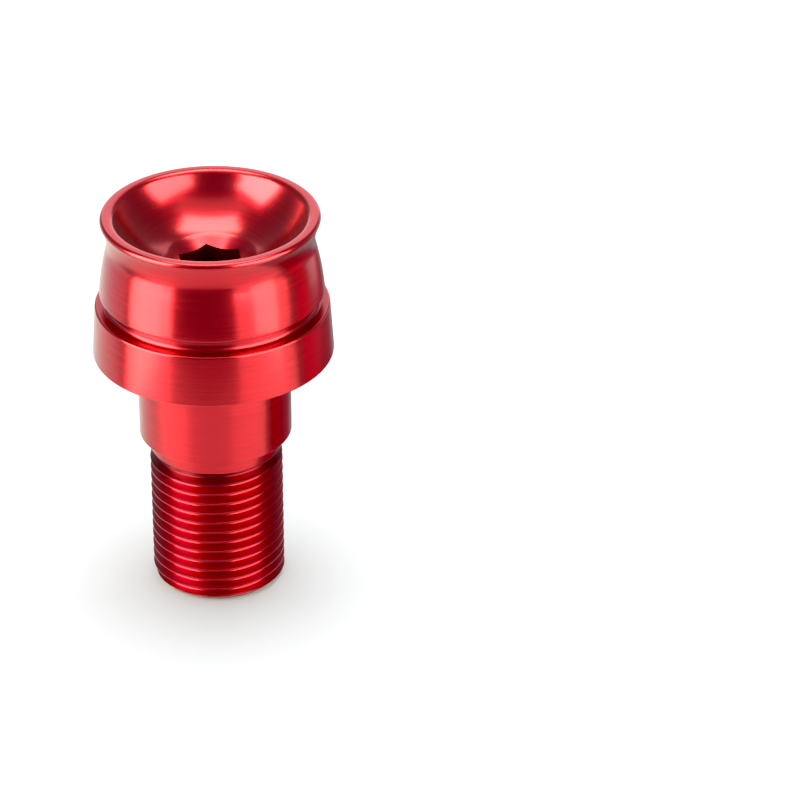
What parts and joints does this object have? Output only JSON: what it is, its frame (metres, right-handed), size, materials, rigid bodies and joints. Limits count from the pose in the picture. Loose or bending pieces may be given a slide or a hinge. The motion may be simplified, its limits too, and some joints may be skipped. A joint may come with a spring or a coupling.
{
  "type": "bar end weight",
  "caption": "Solid turned weight for the end of a handlebar, with a waisted bell head, dished face, hex socket, flange, shoulder and threaded shank.",
  "frame": {"origin": "centre of the end face of the threaded shank, on the surface that the part stands on", "axes": "+Z along the turning axis, from the threaded end to the dished face; +X to the right of the picture's view"},
  "size_m": [0.0322, 0.0322, 0.0548],
  "materials": {
    "red_anodised": "fine turned and anodised red, satin gloss"
  },
  "bodies": {
    "root": {"bar_end_weight": "red_anodised"}
  },
  "joints": []
}
